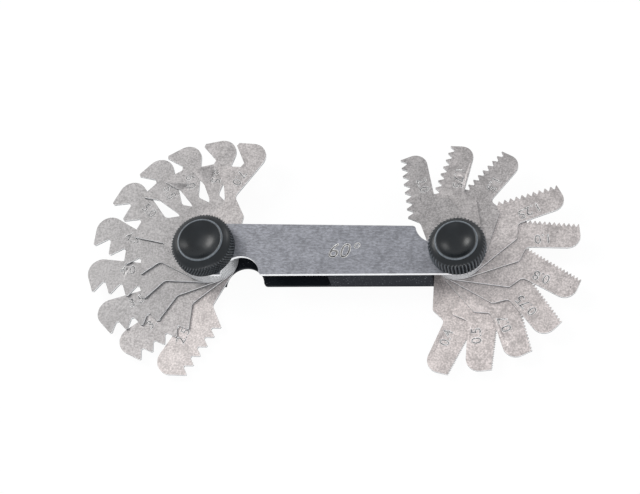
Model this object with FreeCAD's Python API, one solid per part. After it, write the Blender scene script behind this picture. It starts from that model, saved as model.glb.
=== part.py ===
"""Folding thread pitch gauge: two fans of ten toothed leaves on two clamped pivots.

Frame: +X along the case from the coarse pack to the fine pack, +Z out of the steel
front plate. The origin is on the rear face, midway between the two pivots.
"""

import FreeCAD, Part
import math
import os

from FreeCAD import Vector

# Stack, from the rear face up
FLOOR_THICKNESS = 1.0
POCKET_HEIGHT = 5.1
PLATE_THICKNESS = 0.8
LEAF_THICKNESS = 0.46
LEAF_GAP = 0.04
STACK_CLEARANCE = 0.05

# Case outline: two round ends joined by tangent sides
PIVOT_SPACING = 54.4
LEFT_END_R = 6.1
RIGHT_END_R = 5.4
SCOOP_R = 4.2
LEFT_SCOOP_OFFSET = 8.2
RIGHT_SCOOP_OFFSET = 5.0
SCOOP_CENTRE_Y = 5.9
SCOOP_CORNER_R = 0.8
REAR_EDGE_CHAMFER = 0.3

# Pivots
SHANK_R = 2.0
RUNNING_CLEARANCE = 0.05
HEAD_R = 3.3
HEAD_DEPTH = 0.75
HEAD_SINK = 0.05
SLOT_WIDTH = 0.7
SLOT_DEPTH = 0.4
SHANK_IN_KNOB = 2.0
KNOB_BORE_DEPTH = 2.2

# Knobs
KNOB_HEIGHT = 4.6
RIM_HEIGHT = 0.35
SHOULDER_DROP = 1.1
RIM_WIDTH = 0.55
DISH_DEPTH = 1.6
DISH_FLOOR_SHARE = 0.45
SEAT_RELIEF = 0.25

# Thread form of every leaf: sixty degree flanks, flat crests, flat roots
HALF_THREAD_ANGLE = math.radians(30)
THREAD_DEPTH_PER_PITCH = 0.61
CREST_PER_PITCH = 1 / 8
FINE_PITCH = 1.25

# Pockets, cut past the case on their open sides
POCKET_CLEARANCE = 0.3
STOP_GAP = 0.06
OUTSIDE = 9.0

LENGTH_TOLERANCE = 1e-6


class Pack:
    """The leaves of one pivot, drawn with the leaf's own x axis out from the pivot."""

    def __init__(self, **values):
        self.__dict__.update(values)


LEFT = Pack(
    side="left",
    pivot=Vector(-PIVOT_SPACING / 2, 0, 0),
    turn=0,
    boss_r=6.1,
    tip=(26.1, 7.05),
    thread_slope=math.radians(9.9),
    toothed_length=13.95,
    nose=(29.0, -1.3, 3.2),
    shoulder=(14.0, 1.0, 1.3),
    outer_neck=(10.7, -3.3, 1.3),
    inner_neck=(9.7, 5.25, 1.2),
    reach=27.45,
    folded=-21.5,
    stop=65.7,
    knob_r=6.8,
    rim_r=4.95,
    leaves=(
        ("7_0", 7.0, 65.7), ("6_5", 6.5, 82.5), ("6_0", 6.0, 101.6), ("5_5", 5.5, 117.9),
        ("5_0", 5.0, 136.8), ("4_5", 4.5, 159.2), ("4_0", 4.0, 183.1), ("3_5", 3.5, 206.9),
        ("3_0", 3.0, 226.9), ("2_5", 2.5, 250.2),
    ),
)

RIGHT = Pack(
    side="right",
    pivot=Vector(PIVOT_SPACING / 2, 0, 0),
    turn=180,
    boss_r=5.35,
    tip=(25.1, 5.3),
    thread_slope=math.radians(9.7),
    toothed_length=14.5,
    nose=(25.35, -0.2, 2.7),
    shoulder=(14.0, 0.95, 1.2),
    outer_neck=(12.4, -2.1, 0.5),
    inner_neck=(9.1, 5.6, 1.2),
    reach=25.65,
    folded=-19.0,
    stop=75.1,
    knob_r=6.0,
    rim_r=4.5,
    leaves=(
        ("2_0", 2.0, 109.8), ("1_75", 1.75, 84.3), ("1_5", 1.5, 59.4), ("1_25", 1.25, 27.3),
        ("1_0", 1.0, 4.6), ("0_8", 0.8, -23.4), ("0_75", 0.75, -45.5), ("0_7", 0.7, -64.6),
        ("0_5", 0.5, -84.7), ("0_4", 0.4, -104.9),
    ),
)

# The four coarsest leaves carry two teeth and a deep throat behind them
THROAT_PITCH = 5.5
THROAT_TOOTHED_LENGTH = 9.0
THROAT = (11.8, 2.2, 3.0)

PLATE_Z = FLOOR_THICKNESS + POCKET_HEIGHT
TOP_Z = PLATE_Z + PLATE_THICKNESS


def rounded_path(corners):
    """Edges through (x, y, radius) corners, each rounded by a tangent arc; both ends are sharp."""
    first, last = Vector(*corners[0][:2], 0), Vector(*corners[-1][:2], 0)
    edges = []
    reached = first
    for i, (x, y, radius) in enumerate(corners[1:-1], 1):
        corner = Vector(x, y, 0)
        start = end = corner
        if radius:
            before = Vector(*corners[i - 1][:2], 0) - corner
            after = Vector(*corners[i + 1][:2], 0) - corner
            half = before.getAngle(after) / 2
            before.normalize()
            after.normalize()
            bisector = (before + after).normalize()
            tangent = radius / math.tan(half)
            start, end = corner + before * tangent, corner + after * tangent
            middle = corner + bisector * (radius / math.sin(half) - radius)
        edges.append(Part.makeLine(reached, start))
        if radius:
            edges.append(Part.Arc(start, middle, end).toShape())
        reached = end
    edges.append(Part.makeLine(reached, last))
    return edges


def prism(wire, bottom, height):
    face = Part.Face(wire)
    face.translate(Vector(0, 0, bottom))
    return face.extrude(Vector(0, 0, height))


def cylinder(radius, height, centre, bottom):
    return Part.makeCylinder(radius, height, Vector(centre.x, centre.y, bottom))


def tangent_point(corner, radius, side):
    """Where a line from the corner touches a circle about the pivot; side is +1 or -1."""
    x, y, _ = corner
    angle = math.atan2(y, x) + side * math.acos(radius / math.hypot(x, y))
    return radius * math.cos(angle), radius * math.sin(angle), 0


def thread_profile(pack, pitch):
    """Crest and root corners of the toothed edge, from the tip towards the pivot."""
    slope = pack.thread_slope
    along = Vector(-math.cos(slope), math.sin(slope), 0)
    inward = Vector(-math.sin(slope), -math.cos(slope), 0)
    throat = pitch >= THROAT_PITCH
    length = THROAT_TOOTHED_LENGTH if throat else pack.toothed_length
    crests = int(length / pitch) + 1
    crest = CREST_PER_PITCH * pitch
    half_root = (pitch - crest) / 2 - THREAD_DEPTH_PER_PITCH * pitch * math.tan(HALF_THREAD_ANGLE)
    if pitch < FINE_PITCH:
        half_root = 0
    flank = (pitch - crest) / 2 - half_root
    depth = flank / math.tan(HALF_THREAD_ANGLE)
    points = []
    for i in range(crests):
        start = Vector(*pack.tip, 0) + along * (i * pitch)
        root = start + along * (crest + flank) + inward * depth
        last = i == crests - 1
        points += [start, start + along * crest]
        if not last or throat:
            points.append(root)
        if not last and half_root:
            points.append(root + along * (2 * half_root))
    return [(point.x, point.y, 0) for point in points]


def leaf(pack, pitch, bottom):
    inner = THROAT if pitch >= THROAT_PITCH else pack.inner_neck
    start = tangent_point(pack.outer_neck, pack.boss_r, -1)
    end = tangent_point(inner, pack.boss_r, 1)
    edges = rounded_path([
        start, pack.outer_neck, pack.shoulder, pack.nose, *thread_profile(pack, pitch), inner, end,
    ])
    boss = Part.Arc(Vector(*end), Vector(-pack.boss_r, 0, 0), Vector(*start))
    blade = prism(Part.Wire(edges + [boss.toShape()]), bottom, LEAF_THICKNESS)
    return blade.cut(cylinder(SHANK_R + RUNNING_CLEARANCE, LEAF_THICKNESS, Vector(), bottom))


def place(shape, pack, angle):
    shape.rotate(Vector(), Vector(0, 0, 1), angle)
    shape.translate(pack.pivot)
    return shape


def inboard_scoop_corner(edge, height):
    upright = abs(edge.Length - height) < LENGTH_TOLERANCE
    return upright and abs(edge.CenterOfMass.x) < PIVOT_SPACING / 2 - SCOOP_R


def case_outline(bottom, height):
    """Tapered long hull around both pivots with a thumb scoop beside each knob."""
    lean = math.asin((LEFT_END_R - RIGHT_END_R) / PIVOT_SPACING)
    touch = Vector(math.sin(lean), math.cos(lean), 0)
    mirrored = Vector(touch.x, -touch.y, 0)
    left, right = LEFT.pivot, RIGHT.pivot
    wire = Part.Wire([
        Part.makeLine(left + touch * LEFT_END_R, right + touch * RIGHT_END_R),
        Part.Arc(
            right + touch * RIGHT_END_R,
            right + Vector(RIGHT_END_R, 0, 0),
            right + mirrored * RIGHT_END_R,
        ).toShape(),
        Part.makeLine(right + mirrored * RIGHT_END_R, left + mirrored * LEFT_END_R),
        Part.Arc(
            left + mirrored * LEFT_END_R,
            left - Vector(LEFT_END_R, 0, 0),
            left + touch * LEFT_END_R,
        ).toShape(),
    ])
    hull = prism(wire, bottom, height)
    left_scoop = left + Vector(LEFT_SCOOP_OFFSET, -SCOOP_CENTRE_Y, 0)
    right_scoop = right + Vector(-RIGHT_SCOOP_OFFSET, SCOOP_CENTRE_Y, 0)
    hull = hull.cut(cylinder(SCOOP_R, height, left_scoop, bottom))
    hull = hull.cut(cylinder(SCOOP_R, height, right_scoop, bottom))
    corners = [edge for edge in hull.Edges if inboard_scoop_corner(edge, height)]
    return hull.makeFillet(SCOOP_CORNER_R, corners)


def pocket(pack):
    """Room for one folded pack, open to the side that its leaves swing in from."""
    fold = math.radians(pack.folded)
    slope = pack.thread_slope
    inner_x = pack.tip[0] - pack.toothed_length * math.cos(slope)
    inner_y = pack.tip[1] + pack.toothed_length * math.sin(slope)

    def folded(x, y):
        return (
            x * math.cos(fold) - y * math.sin(fold),
            x * math.sin(fold) + y * math.cos(fold) + POCKET_CLEARANCE,
        )

    wall_x, wall_y = folded(inner_x, inner_y)
    tip_x, tip_y = folded(*pack.tip)
    sweep_r = pack.reach + POCKET_CLEARANCE
    arc_top = Vector(math.sqrt(sweep_r ** 2 - tip_y ** 2), tip_y, 0)
    arc_bottom = Vector(math.sqrt(sweep_r ** 2 - OUTSIDE ** 2), -OUTSIDE, 0)
    arc_middle = Vector(math.sqrt(sweep_r ** 2 - (OUTSIDE / 2) ** 2), -OUTSIDE / 2, 0)

    stop = math.radians(pack.stop)
    neck = pack.outer_neck
    touch = tangent_point(neck, pack.boss_r, -1)
    stop_line = []
    for x, y, _ in (touch, neck):
        outward = y - STOP_GAP
        stop_line.append((
            x * math.cos(stop) - outward * math.sin(stop),
            x * math.sin(stop) + outward * math.cos(stop),
        ))
    (x0, y0), (x1, y1) = stop_line

    def on_stop_line(y):
        return Vector(x0 + (x1 - x0) * (y - y0) / (y1 - y0), y, 0)

    points = [
        arc_bottom,
        Vector(-OUTSIDE, -OUTSIDE, 0),
        Vector(-OUTSIDE, OUTSIDE, 0),
        on_stop_line(OUTSIDE),
        on_stop_line(wall_y),
        Vector(wall_x, wall_y, 0),
        Vector(tip_x, tip_y, 0),
        arc_top,
    ]
    edges = [Part.makeLine(a, b) for a, b in zip(points, points[1:])]
    edges.append(Part.Arc(arc_top, arc_middle, arc_bottom).toShape())
    return place(prism(Part.Wire(edges), FLOOR_THICKNESS, POCKET_HEIGHT), pack, pack.turn)


def countersink(radius, depth, pivot):
    return Part.makeCone(radius, SHANK_R, depth, pivot)


def case_body():
    body = case_outline(0, PLATE_Z)
    rear = [edge for edge in body.Edges if edge.BoundBox.ZMax < LENGTH_TOLERANCE]
    body = body.makeChamfer(REAR_EDGE_CHAMFER, rear)
    for pack in (LEFT, RIGHT):
        body = body.cut(pocket(pack))
        body = body.cut(cylinder(SHANK_R, PLATE_Z, pack.pivot, 0))
        body = body.cut(countersink(HEAD_R, HEAD_DEPTH, pack.pivot))
    return body.removeSplitter()


def front_plate():
    plate = case_outline(PLATE_Z, PLATE_THICKNESS)
    for pack in (LEFT, RIGHT):
        plate = plate.cut(cylinder(SHANK_R, PLATE_THICKNESS, pack.pivot, PLATE_Z))
    return plate


def pivot_screw(pack):
    """Countersunk head flush in the rear face; the shank runs up into the knob."""
    head = countersink(HEAD_R, HEAD_DEPTH, pack.pivot)
    shank = cylinder(SHANK_R, TOP_Z + SHANK_IN_KNOB, pack.pivot, 0)
    screw = head.fuse(shank).removeSplitter()
    slot = Part.makeBox(
        2 * HEAD_R, SLOT_WIDTH, SLOT_DEPTH,
        pack.pivot - Vector(HEAD_R, SLOT_WIDTH / 2, 0),
    )
    return screw.cut(slot).cut(cylinder(HEAD_R, HEAD_SINK, pack.pivot, 0))


def knob(pack):
    """Turned clamp knob: seat, knurled band, sloped shoulder, raised rim and dished top."""
    outer, rim = pack.knob_r, pack.rim_r
    dish = rim - RIM_WIDTH
    band_top = KNOB_HEIGHT - RIM_HEIGHT - SHOULDER_DROP
    profile = [
        (0, KNOB_BORE_DEPTH),
        (SHANK_R + RUNNING_CLEARANCE, KNOB_BORE_DEPTH),
        (SHANK_R + RUNNING_CLEARANCE, 0),
        (outer - SEAT_RELIEF, 0),
        (outer, SEAT_RELIEF),
        (outer, band_top),
        (rim, KNOB_HEIGHT - RIM_HEIGHT),
        (rim, KNOB_HEIGHT),
        (dish, KNOB_HEIGHT),
        (dish * DISH_FLOOR_SHARE, KNOB_HEIGHT - DISH_DEPTH),
        (0, KNOB_HEIGHT - DISH_DEPTH),
    ]
    corners = [Vector(radius, 0, height) for radius, height in profile]
    face = Part.Face(Part.makePolygon(corners + corners[:1]))
    solid = face.revolve(Vector(), Vector(0, 0, 1), 360)
    solid.translate(pack.pivot + Vector(0, 0, TOP_Z))
    return solid


def export(name, shape):
    shape.exportStep("parts/" + name + ".step")


def main():
    os.makedirs("parts", exist_ok=True)
    export("case_body", case_body())
    export("front_plate", front_plate())
    for pack in (LEFT, RIGHT):
        export(pack.side + "_pivot_screw", pivot_screw(pack))
        export(pack.side + "_knob", knob(pack))
        top = PLATE_Z - STACK_CLEARANCE
        for name, pitch, angle in pack.leaves:
            bottom = top - LEAF_THICKNESS
            export("leaf_" + name, place(leaf(pack, pitch, bottom), pack, angle))
            top = bottom - LEAF_GAP


if __name__ == "__main__":
    main()
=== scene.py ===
"""Looks of the folding thread pitch gauge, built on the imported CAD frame."""

import math

import bmesh
import bpy
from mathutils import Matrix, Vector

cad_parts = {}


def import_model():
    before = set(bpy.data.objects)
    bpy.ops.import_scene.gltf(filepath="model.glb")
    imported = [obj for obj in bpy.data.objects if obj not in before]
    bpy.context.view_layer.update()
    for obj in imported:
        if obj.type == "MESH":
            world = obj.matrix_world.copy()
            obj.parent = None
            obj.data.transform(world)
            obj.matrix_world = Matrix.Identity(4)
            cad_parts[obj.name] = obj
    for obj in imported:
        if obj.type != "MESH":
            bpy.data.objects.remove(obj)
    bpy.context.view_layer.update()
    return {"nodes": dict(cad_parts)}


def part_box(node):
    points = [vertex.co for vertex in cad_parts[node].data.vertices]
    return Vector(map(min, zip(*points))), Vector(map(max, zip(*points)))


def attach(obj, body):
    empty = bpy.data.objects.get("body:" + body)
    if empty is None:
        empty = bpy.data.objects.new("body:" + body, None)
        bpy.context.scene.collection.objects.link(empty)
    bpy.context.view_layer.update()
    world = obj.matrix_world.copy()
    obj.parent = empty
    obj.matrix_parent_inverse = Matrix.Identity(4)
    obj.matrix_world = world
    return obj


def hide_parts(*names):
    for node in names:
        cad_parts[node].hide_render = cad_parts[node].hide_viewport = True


MM = 0.001

# Leaves of each pack from the top down: node, label, and painted sheen tone (how bright its steel is
# painted for the reflection it catches at its angle in the fan)
LEFT_LEAVES = (
    ("leaf_7_0", "7.0", 0.64), ("leaf_6_5", "6.5", 0.57), ("leaf_6_0", "6.0", 0.52),
    ("leaf_5_5", "5.5", 0.49), ("leaf_5_0", "5.0", 0.47), ("leaf_4_5", "4.5", 0.45),
    ("leaf_4_0", "4.0", 0.46), ("leaf_3_5", "3.5", 0.47), ("leaf_3_0", "3.0", 0.59),
    ("leaf_2_5", "2.5", 0.80),
)
RIGHT_LEAVES = (
    ("leaf_2_0", "2.0", 0.55), ("leaf_1_75", "1.75", 0.61), ("leaf_1_5", "1.5", 0.59),
    ("leaf_1_25", "1.25", 0.74), ("leaf_1_0", "1.0", 0.78), ("leaf_0_8", "0.8", 0.81),
    ("leaf_0_75", "0.75", 0.84), ("leaf_0_7", "0.7", 0.86), ("leaf_0_5", "0.5", 0.90),
    ("leaf_0_4", "0.4", 0.89),
)
LEFT_ANGLES = (65.7, 82.5, 101.6, 117.9, 136.8, 159.2, 183.1, 206.9, 226.9, 250.2)
RIGHT_ANGLES = (109.8, 84.3, 59.4, 27.3, 4.6, -23.4, -45.5, -64.6, -84.7, -104.9)
LEFT_LABEL = (18.3, 2.5)
RIGHT_LABEL = (17.5, 2.6)

# Stamped lettering
LABEL_SIZE = 3.0 * MM
PLATE_TEXT = "60°"
PLATE_TEXT_SIZE = 4.8 * MM
PLATE_TEXT_PLACE = (2.9 * MM, -0.5 * MM)
PLATE_TEXT_SLANT = 0.22
STAMP_RISE = 0.2 * MM
BURR_DEPTH = 0.03 * MM
BURR_SWELL = 0.05 * MM
CORE_DEPTH = 0.12 * MM
CORE_SWELL = -0.07 * MM
CURVE_STEPS = 3
# The burr's light colour is a painted highlight on the rims of the figures
BURR_HIGHLIGHT = (0.86, 0.85, 0.84)
BURR_DARK = (0.45, 0.44, 0.44)
CORE_LIGHT = (0.3, 0.29, 0.28)
CORE_DARK = (0.04, 0.04, 0.045)

# Copies of the CAD meshes: welding distance, angle that counts as level, sharp angles
WELD_DISTANCE = 1e-7
LEVEL_DEGREES = 0.5
STAMPED_SHARP_DEGREES = 30
KNOB_SHARP_DEGREES = 40

# Steel: how metallic its faces and cut edges are, and the painted shadow on the lower part of its cut
# edges
FACE_METAL = 0.4
EDGE_METAL = 0.1
EDGE_PAINTED_SHADOW = (0.07, 0.075, 0.085)
# Share of a leaf's cut-edge height, from the top, that gets the painted highlight; below it the painted
# shadow
EDGE_HIGHLIGHT_SHARE = 0.55
LEAF_TINT = (0.56, 0.53, 0.525)
# Painted sheen: leaves with a tone above this are painted warmer, below it cooler, by this much per step
# of tone
NEUTRAL_SHEEN_TONE = 0.6
SHEEN_WARMTH_PER_TONE = 0.15
# Painted highlight on the leaves' cut edges
LEAF_EDGE_HIGHLIGHT = (0.95, 0.95, 0.95)
PLATE_FACE = (0.21, 0.215, 0.238)
# Painted highlight on the plate's cut edges
PLATE_EDGE_HIGHLIGHT = (0.95, 0.95, 0.95)
PLATE_BRUSH = (0.45, 1, 1)
SCREW_FACE = (0.45, 0.45, 0.46)
# Painted highlight on the screws' cut edges
SCREW_EDGE_HIGHLIGHT = (0.6, 0.6, 0.6)
SCREW_BRUSH = (1, 6, 1)
DARK_GRAIN = 0.72
LIGHT_GRAIN = 1.34
PIT_STRENGTH = 0.5
PIT_COLOUR = (0.05, 0.05, 0.055, 1)

# Scales of the noise in the materials, per metre
GRAIN_SCALE = 2600
MOTTLE_SCALE = 420
CLOUD_SCALE = 90
PIT_SCALE = 1900
SPOT_SCALE = 1500
CASE_GRAIN_SCALE = 1800
DUST_SCALE = 3200
PATCH_SCALE = 130
HAZE_SCALE = 260
SCUFF_SCALE = 2400

# Knobs: outer radius, rim radius, number of teeth round, diamond or straight; lengths in mm
LEFT_KNOB = (6.8, 4.95, 64, True)
RIGHT_KNOB = (6.0, 4.5, 48, False)
KNOB_HEIGHT = 4.6
KNURL_DEPTH = 0.48
# Painted highlight on the knurl tooth tips and the rim crest: its strength on the teeth, then its colour
TOOTH_HIGHLIGHT_STRENGTH = 0.9
KNOB_PAINTED_HIGHLIGHT = (0.17, 0.19, 0.21)
KNURL_ROWS = 18
DIAMOND_ROW = 0.62
STEPS_PER_TOOTH = 4
SEAT_RELIEF = 0.25
BAND_TOP = 3.15
RIM_BASE = 4.25
RIM_WIDTH = 0.55
DISH_DEPTH = 1.6
DISH_STEPS = 14
DISH_LIP = 0.08
DISH_EDGE = 0.1
DISH_POWER = 2.4
SHOULDER = ((0.18, 0.28, 0.5), (0.38, 0.52, 0), (0.68, 0.78, 0))
RIM_FOOT = (0.08, 0.03)
RIM_ROUND = ((0.02, 0.12), (0.12, 0.02), (0.22, 0))
# Width of the rim crest painted as a highlight, and how sharply the tooth highlight narrows to the tips
RIM_HIGHLIGHT_WIDTH = 0.24
HIGHLIGHT_TIP_POWER = 3

# Camera and lights
CAMERA_PLACE = (0.05588, -0.12376, 0.26469)
CAMERA_TURN = (26.212, 10.230, 5.148)
CAMERA_LENS = 77.57
CAMERA_SENSOR = 36
CAMERA_NEAR = 0.01
CAMERA_FAR = 20
SOFTBOXES = (
    ("left_softbox", (-0.36, 0.2, 0.36), (0.22, 0.22), 1.6, (1, 0.99, 0.97)),
    ("back_softbox", (0.3, 0.36, 0.3), (0.2, 0.2), 0.6, (1, 0.99, 0.98)),
    ("front_softbox", (0.1, -0.55, 0.16), (0.3, 0.12), 1.2, (0.97, 0.98, 1)),
)
AMBIENT = (0.55, 0.57, 0.6, 1)

# Floor: half its side, its height, its own grey, and how much and how brightly it glows to the camera
FLOOR_HALF = 3.0
FLOOR_Z = -0.0001
FLOOR_GREY = (0.8, 0.8, 0.8, 1)
GLOW_STRENGTH = 1.02
GLOW_SHARE = 0.93

BLACK = (0, 0, 0, 1)
WHITE = (1, 1, 1, 1)

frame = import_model()
nodes = frame["nodes"]


# ---------------------------------------------------------------- materials

def add(tree, kind, settings=None, **inputs):
    """A shader node; each input is a value or the socket that feeds it."""
    made = tree.nodes.new(kind)
    for key, value in (settings or {}).items():
        setattr(made, key, value)
    for name, value in inputs.items():
        socket = made.inputs[name.replace("_", " ")]
        if isinstance(value, bpy.types.NodeSocket):
            tree.links.new(value, socket)
        else:
            socket.default_value = value
    return made


def ramp(tree, factor, *stops):
    """Colour ramp through (position, grey or colour) stops."""
    made = add(tree, "ShaderNodeValToRGB", Fac=factor)
    elements = made.color_ramp.elements
    while len(elements) < len(stops):
        elements.new(0.5)
    for element, (position, colour) in zip(elements, stops):
        element.position = position
        if not isinstance(colour, tuple):
            colour = (colour,) * 3
        element.color = (*colour, 1)
    return made.outputs["Color"]


def mix(tree, factor, first, second, blend="MIX"):
    made = add(tree, "ShaderNodeMixRGB", {"blend_type": blend}, Fac=factor, Color1=first, Color2=second)
    return made.outputs["Color"]


def noise(tree, vector, scale, detail, roughness):
    made = add(
        tree, "ShaderNodeTexNoise",
        Vector=vector, Scale=scale, Detail=detail, Roughness=roughness,
    )
    return made.outputs["Fac"]


def new_material(name, **uniform):
    """An empty Principled material: its tree, its shader and its object coordinates."""
    made = bpy.data.materials.new(name)
    made.use_nodes = True
    tree = made.node_tree
    shader = tree.nodes["Principled BSDF"]
    for key, value in uniform.items():
        shader.inputs[key.replace("_", " ")].default_value = value
    place = add(tree, "ShaderNodeTexCoord")
    return made, tree, shader, place.outputs["Object"]


def scaled(tree, vector, scale):
    return add(tree, "ShaderNodeMapping", Vector=vector, Scale=scale).outputs["Vector"]


def upright_share(tree):
    """1 on faces that look up or down, 0 on cut edges."""
    geometry = add(tree, "ShaderNodeNewGeometry")
    z = add(tree, "ShaderNodeSeparateXYZ", Vector=geometry.outputs["Normal"]).outputs["Z"]
    return add(tree, "ShaderNodeMath", {"operation": "ABSOLUTE"}, Value=z).outputs["Value"]


def bump(tree, shader, height, strength, distance):
    made = add(tree, "ShaderNodeBump", Height=height, Strength=strength, Distance=distance)
    tree.links.new(made.outputs["Normal"], shader.inputs["Normal"])


def steel(name, face, edge, highlight_break_z, brush=(1, 1, 1)):
    """Matt ground steel with grain and pits; its punched edges carry a painted highlight above the given
    height and a painted shadow below it.
    """
    made, tree, shader, place = new_material(name)
    grain = noise(tree, scaled(tree, place, brush), GRAIN_SCALE, 4, 0.7)
    mottle = noise(tree, place, MOTTLE_SCALE, 4, 0.65)
    cloud = noise(tree, place, CLOUD_SCALE, 2, 0.5)
    tone = mix(tree, 0.3, grain, mottle)
    dark = tuple(DARK_GRAIN * value for value in face)
    light = tuple(LIGHT_GRAIN * value for value in face)
    colour = ramp(tree, tone, (0.41, dark), (0.5, face), (0.59, light))
    colour = mix(tree, 0.5, colour, ramp(tree, cloud, (0.3, 0.86), (0.7, 1.1)), "MULTIPLY")
    pits = ramp(tree, noise(tree, place, PIT_SCALE, 1, 0.3), (0.235, 1), (0.25, 0))
    colour = mix(tree, mix(tree, PIT_STRENGTH, BLACK, pits), colour, PIT_COLOUR)
    flat = upright_share(tree)
    edge_mask = ramp(tree, flat, (0.35, 1), (0.65, 0))
    # Painted highlight on the upper part of the cut edges, painted shadow on the lower part
    height = add(tree, "ShaderNodeSeparateXYZ", Vector=place).outputs["Z"]
    highlight_part = add(tree, "ShaderNodeMath", {"operation": "GREATER_THAN"}, Value=height)
    highlight_part.inputs[1].default_value = highlight_break_z
    wall = mix(tree, highlight_part.outputs["Value"], (*EDGE_PAINTED_SHADOW, 1), (*edge, 1))
    colour = mix(tree, edge_mask, colour, wall)
    tree.links.new(colour, shader.inputs["Base Color"])
    tree.links.new(ramp(tree, edge_mask, (0, FACE_METAL), (1, EDGE_METAL)), shader.inputs["Metallic"])
    tree.links.new(ramp(tree, mottle, (0.3, 0.36), (0.7, 0.52)), shader.inputs["Roughness"])
    bump(tree, shader, grain, 0.35, 0.00003)
    return made


def groove_steel(name, light, dark):
    """Steel of the stamped figures, with uneven dark in it."""
    made, tree, shader, place = new_material(name, Metallic=0.2, Roughness=0.45)
    spots = noise(tree, place, SPOT_SCALE, 3, 0.6)
    tree.links.new(ramp(tree, spots, (0.38, dark), (0.58, light)), shader.inputs["Base Color"])
    return made


def case_black():
    """Baked black finish, a little rough, with pale dust where it is handled."""
    made, tree, shader, place = new_material("case_black", Metallic=0.0, Specular_IOR_Level=0.06)
    grain = noise(tree, place, CASE_GRAIN_SCALE, 4, 0.7)
    dust = noise(tree, place, DUST_SCALE, 2, 0.4)
    patches = noise(tree, place, PATCH_SCALE, 2, 0.5)
    base = ramp(tree, patches, (0.35, (0.010, 0.012, 0.016)), (0.7, (0.015, 0.017, 0.022)))
    dusty = ramp(tree, patches, (0.5, 0), (0.6, 1))
    spots = mix(tree, dusty, BLACK, ramp(tree, dust, (0.66, 0), (0.7, 1)))
    tree.links.new(mix(tree, spots, base, (0.16, 0.17, 0.18, 1)), shader.inputs["Base Color"])
    tree.links.new(ramp(tree, grain, (0.3, 0.5), (0.7, 0.65)), shader.inputs["Roughness"])
    bump(tree, shader, grain, 0.5, 0.00006)
    return made


def knob_black():
    """Glossy moulded black with faint haze, fine scuffs, and a painted highlight on the rim crest and the
    knurl tooth tips.
    """
    made, tree, shader, place = new_material("knob_black", Metallic=0.0, Specular_IOR_Level=0.3)
    haze = noise(tree, place, HAZE_SCALE, 4, 0.6)
    scuff = noise(tree, scaled(tree, place, (1, 0.25, 1)), SCUFF_SCALE, 3, 0.7)
    base = ramp(tree, haze, (0.3, (0.004, 0.006, 0.008)), (0.72, (0.009, 0.012, 0.015)))
    base = mix(tree, ramp(tree, scuff, (0.68, 0), (0.74, 0.6)), base, (0.06, 0.065, 0.07, 1))
    # Painted highlight: the rim crest and the knurl tooth tips are painted lighter, broken up by the scuff
    # noise
    painted_highlight = add(tree, "ShaderNodeAttribute", {"attribute_name": "painted_highlight"}).outputs["Fac"]
    highlight_share = mix(tree, painted_highlight, BLACK, ramp(tree, scuff, (0.3, 0.5), (0.6, 1)))
    base = mix(tree, highlight_share, base, (*KNOB_PAINTED_HIGHLIGHT, 1))
    tree.links.new(base, shader.inputs["Base Color"])
    tree.links.new(ramp(tree, haze, (0.3, 0.24), (0.75, 0.42)), shader.inputs["Roughness"])
    bump(tree, shader, scuff, 0.12, 0.00003)
    return made


# ---------------------------------------------------------------- pieces

def finish_mesh(mesh, sharp_degrees):
    mesh.shade_smooth()
    mesh.set_sharp_from_angle(angle=math.radians(sharp_degrees))


def cutter(name, body, size, place, turn, slant, depth, swell, material):
    """Solid that cuts a line of figures to a depth; swell widens or thins its strokes."""
    curve = bpy.data.curves.new(name, "FONT")
    curve.body = body
    curve.size = size
    curve.align_x = "CENTER"
    curve.align_y = "CENTER"
    curve.shear = slant
    curve.resolution_u = CURVE_STEPS
    curve.offset = swell
    curve.extrude = STAMP_RISE
    text = bpy.data.objects.new(name, curve)
    bpy.context.scene.collection.objects.link(text)
    text.location = (place[0], place[1], place[2] + STAMP_RISE - depth)
    text.rotation_euler = (0, 0, turn)
    bpy.context.view_layer.update()
    mesh = bpy.data.meshes.new_from_object(text.evaluated_get(bpy.context.evaluated_depsgraph_get()))
    mesh.transform(text.matrix_world)
    mesh.materials.clear()
    mesh.materials.append(material)
    bpy.data.objects.remove(text)
    made = bpy.data.objects.new(name, mesh)
    bpy.context.scene.collection.objects.link(made)
    return made


def stamp(name, body, size, place, turn, burr, core, slant=0):
    """Cutters of struck figures: a wide shallow burr in steel painted light as a highlight, then a thin
    deep dark core.
    """
    return (
        cutter(name + "_burr", body, size, place, turn, slant, BURR_DEPTH, BURR_SWELL, burr),
        cutter(name + "_core", body, size, place, turn, slant, CORE_DEPTH, CORE_SWELL, core),
    )


def welded_copy(node, name):
    """The node's mesh with its split corners joined, as a new object."""
    made = bmesh.new()
    made.from_mesh(nodes[node].data)
    bmesh.ops.remove_doubles(made, verts=made.verts, dist=WELD_DISTANCE)
    level = math.radians(LEVEL_DEGREES)
    bmesh.ops.dissolve_limit(made, angle_limit=level, verts=made.verts, edges=made.edges)
    mesh = bpy.data.meshes.new(name)
    made.to_mesh(mesh)
    made.free()
    piece = bpy.data.objects.new(name, mesh)
    bpy.context.scene.collection.objects.link(piece)
    return piece


def stamped(node, cutters, face, body):
    """A copy of the node with its figures cut in, standing for the node."""
    piece = welded_copy(node, node + "_stamped")
    piece.data.materials.append(face)
    for tool in cutters:
        cut = piece.modifiers.new(tool.name, "BOOLEAN")
        cut.operation = "DIFFERENCE"
        cut.solver = "EXACT"
        cut.use_self = True
        cut.material_mode = "TRANSFER"
        cut.object = tool
    bpy.context.view_layer.update()
    mesh = bpy.data.meshes.new_from_object(piece.evaluated_get(bpy.context.evaluated_depsgraph_get()))
    piece.modifiers.clear()
    piece.data = mesh
    for tool in cutters:
        bpy.data.objects.remove(tool)
    finish_mesh(mesh, STAMPED_SHARP_DEGREES)
    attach(piece, body)
    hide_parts(node)


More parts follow.
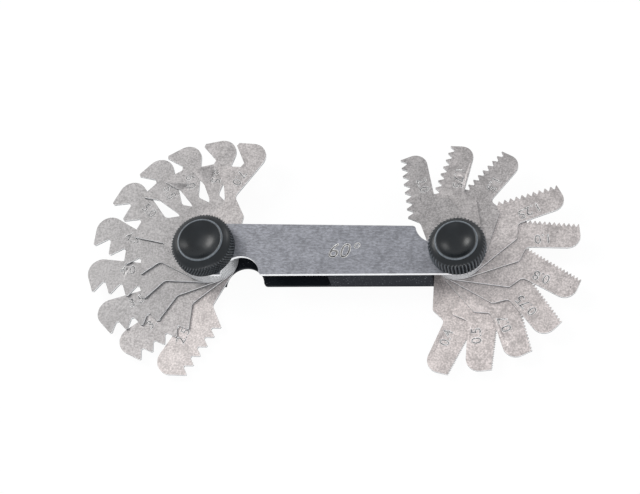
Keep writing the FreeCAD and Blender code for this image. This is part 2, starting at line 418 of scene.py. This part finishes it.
def label_leaves(leaves, angles, pivot_x, label, burr, core):
    for (node, text, tone), degrees in zip(leaves, angles):
        turn = math.radians(degrees)
        x = pivot_x + MM * (label[0] * math.cos(turn) - label[1] * math.sin(turn))
        y = MM * (label[0] * math.sin(turn) + label[1] * math.cos(turn))
        bottom, top = (corner.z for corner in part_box(node))
        figures = stamp(node, text, LABEL_SIZE, (x, y, top), turn + math.pi, burr, core)
        # Painted sheen: the leaf's tone scales its base colour and warms it, standing in for the
        # reflection it catches at its angle in the fan
        sheen_warmth = (tone - NEUTRAL_SHEEN_TONE) * SHEEN_WARMTH_PER_TONE
        red, green, blue = LEAF_TINT
        face = (red * tone * (1 + sheen_warmth), green * tone, blue * tone * (1 - sheen_warmth / 2))
        # Height below which the leaf's cut edge gets the painted shadow instead of the painted highlight
        highlight_break_z = top - EDGE_HIGHLIGHT_SHARE * (top - bottom)
        material = steel("leaf_steel_" + node[5:], face, LEAF_EDGE_HIGHLIGHT, highlight_break_z)
        stamped(node, figures, material, node)


def triangle_wave(turns):
    return abs(2 * (turns - math.floor(turns)) - 1)


def knurl_height(teeth, diamond, angle, height):
    """0 in a groove, 1 on a tooth."""
    turns = teeth * angle / (2 * math.pi)
    if not diamond:
        return triangle_wave(turns)
    slide = height / DIAMOND_ROW / 2
    return min(triangle_wave(turns + slide), triangle_wave(turns - slide))


def knob(node, pivot_x, kind, material, body):
    """Turned knob with a real knurl, rounded shoulder, raised rim and smooth dish."""
    outer, rim, teeth, diamond = kind
    dish = rim - RIM_WIDTH
    rings = [(outer - SEAT_RELIEF, 0, 0)]
    for i in range(KNURL_ROWS + 1):
        height = SEAT_RELIEF + (BAND_TOP - SEAT_RELIEF) * i / KNURL_ROWS
        rings.append((outer, height, 1))
    fall = (outer - rim, RIM_BASE - BAND_TOP)
    for inward, up, share in SHOULDER:
        rings.append((outer - inward * fall[0], BAND_TOP + up * fall[1], share))
    rings += [(rim + RIM_FOOT[0], RIM_BASE - RIM_FOOT[1], 0), (rim, RIM_BASE, 0)]
    rings += [(rim - inward, KNOB_HEIGHT - down, 0) for inward, down in RIM_ROUND]
    rings += [(dish + DISH_EDGE, KNOB_HEIGHT, 0), (dish, KNOB_HEIGHT - DISH_LIP, 0)]
    for i in range(1, DISH_STEPS):
        share = 1 - i / DISH_STEPS
        drop = (DISH_DEPTH - DISH_LIP) * (1 - share ** DISH_POWER)
        rings.append((dish * share, KNOB_HEIGHT - DISH_LIP - drop, 0))
    segments = teeth * STEPS_PER_TOOTH
    base_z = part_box(node)[0].z
    vertices = []
    painted_highlight = []
    for radius, height, share in rings:
        # Painted highlight: full on the rim crest, on the knurl along the tooth tips
        on_rim = rim - RIM_HIGHLIGHT_WIDTH < radius < rim and height > RIM_BASE
        for i in range(segments):
            angle = 2 * math.pi * i / segments
            tooth = knurl_height(teeth, diamond, angle, height)
            painted_highlight.append(1.0 if on_rim else share * TOOTH_HIGHLIGHT_STRENGTH * tooth ** HIGHLIGHT_TIP_POWER)
            r = (radius - share * KNURL_DEPTH * (1 - tooth)) * MM
            vertices.append((pivot_x + r * math.cos(angle), r * math.sin(angle), base_z + height * MM))
    faces = []
    for ring in range(len(rings) - 1):
        low, high = ring * segments, (ring + 1) * segments
        for i in range(segments):
            j = (i + 1) % segments
            faces.append((low + i, low + j, high + j, high + i))
    first = (len(rings) - 1) * segments
    faces.append(tuple(range(first, first + segments)))
    faces.append(tuple(reversed(range(segments))))
    mesh = bpy.data.meshes.new(node + "_knurled")
    mesh.from_pydata(vertices, [], faces)
    mesh.materials.append(material)
    mesh.attributes.new("painted_highlight", "FLOAT", "POINT").data.foreach_set("value", painted_highlight)
    finish_mesh(mesh, KNOB_SHARP_DEGREES)
    piece = bpy.data.objects.new(node + "_knurled", mesh)
    bpy.context.scene.collection.objects.link(piece)
    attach(piece, body)
    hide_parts(node)


def dress(node, material):
    nodes[node].data.materials.clear()
    nodes[node].data.materials.append(material)


# ---------------------------------------------------------------- stage

def floor():
    mesh = bpy.data.meshes.new("floor")
    sides = ((-1, -1), (1, -1), (1, 1), (-1, 1))
    corners = [(x * FLOOR_HALF, y * FLOOR_HALF, FLOOR_Z) for x, y in sides]
    mesh.from_pydata(corners, [], [(0, 1, 2, 3)])
    plane = bpy.data.objects.new("floor", mesh)
    bpy.context.scene.collection.objects.link(plane)
    made = bpy.data.materials.new("floor_white")
    made.use_nodes = True
    tree = made.node_tree
    tree.nodes.clear()
    lit = add(tree, "ShaderNodeBsdfDiffuse", Color=FLOOR_GREY).outputs["BSDF"]
    glow = add(tree, "ShaderNodeEmission", Color=WHITE, Strength=GLOW_STRENGTH).outputs["Emission"]
    path = add(tree, "ShaderNodeLightPath")
    seen = add(tree, "ShaderNodeMath", {"operation": "MAXIMUM"})
    tree.links.new(path.outputs["Is Camera Ray"], seen.inputs[0])
    tree.links.new(path.outputs["Is Glossy Ray"], seen.inputs[1])
    share = add(tree, "ShaderNodeMath", {"operation": "MULTIPLY"})
    tree.links.new(seen.outputs["Value"], share.inputs[0])
    share.inputs[1].default_value = GLOW_SHARE
    surface = add(tree, "ShaderNodeMixShader")
    tree.links.new(share.outputs["Value"], surface.inputs["Fac"])
    tree.links.new(lit, surface.inputs[1])
    tree.links.new(glow, surface.inputs[2])
    out = add(tree, "ShaderNodeOutputMaterial")
    tree.links.new(surface.outputs["Shader"], out.inputs["Surface"])
    mesh.materials.append(made)


def world():
    made = bpy.data.worlds.new("studio")
    bpy.context.scene.world = made
    made.use_nodes = True
    tree = made.node_tree
    tree.nodes.clear()
    path = add(tree, "ShaderNodeLightPath")
    seen = add(tree, "ShaderNodeMath", {"operation": "MAXIMUM"})
    tree.links.new(path.outputs["Is Camera Ray"], seen.inputs[0])
    tree.links.new(path.outputs["Is Glossy Ray"], seen.inputs[1])
    colour = mix(tree, seen.outputs["Value"], AMBIENT, WHITE)
    background = add(tree, "ShaderNodeBackground", Color=colour, Strength=1.0)
    out = add(tree, "ShaderNodeOutputWorld")
    tree.links.new(background.outputs["Background"], out.inputs["Surface"])


def softbox(name, place, size, power, colour):
    light = bpy.data.lights.new(name, "AREA")
    light.shape = "RECTANGLE"
    light.size, light.size_y = size
    light.energy = power
    light.color = colour
    lamp = bpy.data.objects.new(name, light)
    bpy.context.scene.collection.objects.link(lamp)
    lamp.location = place
    lamp.rotation_mode = "QUATERNION"
    lamp.rotation_quaternion = lamp.location.to_track_quat("Z", "Y")


def camera():
    data = bpy.data.cameras.new("camera")
    data.lens = CAMERA_LENS
    data.sensor_width = CAMERA_SENSOR
    data.clip_start = CAMERA_NEAR
    data.clip_end = CAMERA_FAR
    eye = bpy.data.objects.new("camera", data)
    bpy.context.scene.collection.objects.link(eye)
    eye.location = CAMERA_PLACE
    eye.rotation_euler = [math.radians(value) for value in CAMERA_TURN]
    bpy.context.scene.camera = eye


LEFT_X = (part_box("left_knob")[0].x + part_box("left_knob")[1].x) / 2
RIGHT_X = (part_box("right_knob")[0].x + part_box("right_knob")[1].x) / 2

burr_highlight_steel = groove_steel("burr_highlight_steel", BURR_HIGHLIGHT, BURR_DARK)
core_steel = groove_steel("core_steel", CORE_LIGHT, CORE_DARK)
label_leaves(LEFT_LEAVES, LEFT_ANGLES, LEFT_X, LEFT_LABEL, burr_highlight_steel, core_steel)
label_leaves(RIGHT_LEAVES, RIGHT_ANGLES, RIGHT_X, RIGHT_LABEL, burr_highlight_steel, core_steel)

plate_bottom, plate_top = (corner.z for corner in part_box("front_plate"))
plate_figures = stamp(
    "plate", PLATE_TEXT, PLATE_TEXT_SIZE, (*PLATE_TEXT_PLACE, plate_top), 0, burr_highlight_steel, core_steel,
    PLATE_TEXT_SLANT,
)
plate_steel = steel("plate_steel", PLATE_FACE, PLATE_EDGE_HIGHLIGHT, plate_bottom, PLATE_BRUSH)
stamped("front_plate", plate_figures, plate_steel, "case")

black = knob_black()
knob("left_knob", LEFT_X, LEFT_KNOB, black, "left_knob")
knob("right_knob", RIGHT_X, RIGHT_KNOB, black, "right_knob")
dress("case_body", case_black())
screw_steel = steel("screw_steel", SCREW_FACE, SCREW_EDGE_HIGHLIGHT, 0, SCREW_BRUSH)
dress("left_pivot_screw", screw_steel)
dress("right_pivot_screw", screw_steel)

floor()
world()
for name, place, size, power, colour in SOFTBOXES:
    softbox(name, place, size, power, colour)
camera()

scene = bpy.context.scene
scene.view_settings.view_transform = "Standard"
